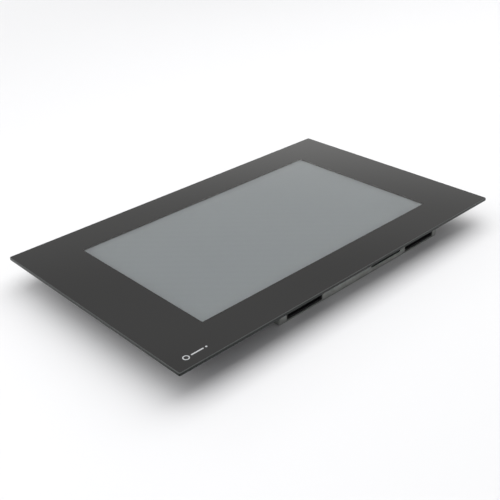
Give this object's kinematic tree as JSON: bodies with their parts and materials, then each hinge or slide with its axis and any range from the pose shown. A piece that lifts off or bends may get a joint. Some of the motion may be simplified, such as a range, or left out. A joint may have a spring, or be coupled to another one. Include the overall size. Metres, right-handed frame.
{
  "type": "hmi touch panel",
  "caption": "Wide cabinet-mounted operator touch panel: bordered cover glass over a display, with a smaller sheet-metal electronics tray, terminal windows and swing clamps behind.",
  "frame": {"origin": "bottom centre of the bounding box: the middle of the front glass in X and Y, at the tray's rear face", "axes": "+Z out of the front glass, +Y to the top of the screen, +X to its right side"},
  "size_m": [0.306, 0.187, 0.0225],
  "materials": {
    "cover_glass": "polished, black print behind",
    "sensor_glass": "polished",
    "optical_film": "white, diffusing",
    "display_cell": "satin polariser",
    "galvanised_sheet": "galvanised, satin",
    "plated_fastener": "zinc plated",
    "black_moulding": "fine texture",
    "black_foam": "closed cell foam",
    "circuit_board": "solder mask",
    "chip_package": "moulded",
    "header_plastic": "moulded",
    "polyimide_film": "film",
    "bare_aluminium": "milled",
    "cast_zinc": "cast, satin",
    "white_plastic": "moulded"
  },
  "bodies": {
    "panel": {"board_screw_1": "plated_fastener", "board_screw_2": "plated_fastener", "board_screw_3": "plated_fastener", "board_screw_4": "plated_fastener", "board_standoff_1": "plated_fastener", "board_standoff_2": "plated_fastener", "board_standoff_3": "plated_fastener", "board_standoff_4": "plated_fastener", "buzzer": "chip_package", "card_socket": "galvanised_sheet", "coin_cell": "plated_fastener", "coin_cell_holder": "chip_package", "diffuser_film": "optical_film", "display_housing": "black_moulding", "earth_nut": "plated_fastener", "earth_stud": "plated_fastener", "filter_capacitor_1": "bare_aluminium", "filter_capacitor_2": "bare_aluminium", "front_glass": "cover_glass", "heat_spreader": "bare_aluminium", "lcd_back_plate": "galvanised_sheet", "lcd_bezel": "galvanised_sheet", "lcd_cell": "display_cell", "lcd_driver_board": "circuit_board", "lcd_flex": "polyimide_film", "led_bar": "white_plastic", "light_guide": "optical_film", "light_sensor": "chip_package", "main_board": "circuit_board", "memory_chip": "chip_package", "panel_gasket": "black_foam", "power_header": "header_plastic", "power_inductor": "chip_package", "processor": "chip_package", "rear_tray": "galvanised_sheet", "reset_switch": "chip_package", "sensor_board": "circuit_board", "sensor_cable": "polyimide_film", "signal_header": "header_plastic", "status_led": "white_plastic", "touch_flex": "polyimide_film", "touch_sensor": "sensor_glass", "tray_screw_1": "plated_fastener", "tray_screw_2": "plated_fastener", "tray_screw_3": "plated_fastener", "tray_screw_4": "plated_fastener", "usb_port": "plated_fastener"},
    "clamp_1_screw": {"clamp_screw_1": "plated_fastener"},
    "clamp_1_pawl": {"clamp_pawl_1": "cast_zinc"},
    "clamp_2_screw": {"clamp_screw_2": "plated_fastener"},
    "clamp_2_pawl": {"clamp_pawl_2": "cast_zinc"},
    "clamp_3_screw": {"clamp_screw_3": "plated_fastener"},
    "clamp_3_pawl": {"clamp_pawl_3": "cast_zinc"},
    "clamp_4_screw": {"clamp_screw_4": "plated_fastener"},
    "clamp_4_pawl": {"clamp_pawl_4": "cast_zinc"},
    "card": {"memory_card": "chip_package"},
    "reset": {"reset_button": "white_plastic"}
  },
  "joints": [
    {"name": "clamp_1_swing", "type": "hinge", "parent": "panel", "child": "clamp_1_screw", "pos_m": [-0.1245, -0.055, 0.0091], "axis": [0, 0, 1], "range_deg": [0, 90]},
    {"name": "clamp_1_draw", "type": "slide", "parent": "clamp_1_screw", "child": "clamp_1_pawl", "axis": [0, 0, 1], "range_m": [0, 0.0048]},
    {"name": "clamp_2_swing", "type": "hinge", "parent": "panel", "child": "clamp_2_screw", "pos_m": [-0.1245, 0.055, 0.0091], "axis": [0, 0, -1], "range_deg": [0, 90]},
    {"name": "clamp_2_draw", "type": "slide", "parent": "clamp_2_screw", "child": "clamp_2_pawl", "axis": [0, 0, 1], "range_m": [0, 0.0048]},
    {"name": "clamp_3_swing", "type": "hinge", "parent": "panel", "child": "clamp_3_screw", "pos_m": [0.1245, -0.055, 0.0091], "axis": [0, 0, -1], "range_deg": [0, 90]},
    {"name": "clamp_3_draw", "type": "slide", "parent": "clamp_3_screw", "child": "clamp_3_pawl", "axis": [0, 0, 1], "range_m": [0, 0.0048]},
    {"name": "clamp_4_swing", "type": "hinge", "parent": "panel", "child": "clamp_4_screw", "pos_m": [0.1245, 0.055, 0.0091], "axis": [0, 0, 1], "range_deg": [0, 90]},
    {"name": "clamp_4_draw", "type": "slide", "parent": "clamp_4_screw", "child": "clamp_4_pawl", "axis": [0, 0, 1], "range_m": [0, 0.0048]},
    {"name": "card_pull", "type": "slide", "parent": "panel", "child": "card", "axis": [0, -1, 0], "range_m": [0, 0.012]},
    {"name": "reset_press", "type": "slide", "parent": "panel", "child": "reset", "axis": [0, 1, 0], "range_m": [0, 0.0004], "stiffness_N_per_m": 800}
  ]
}
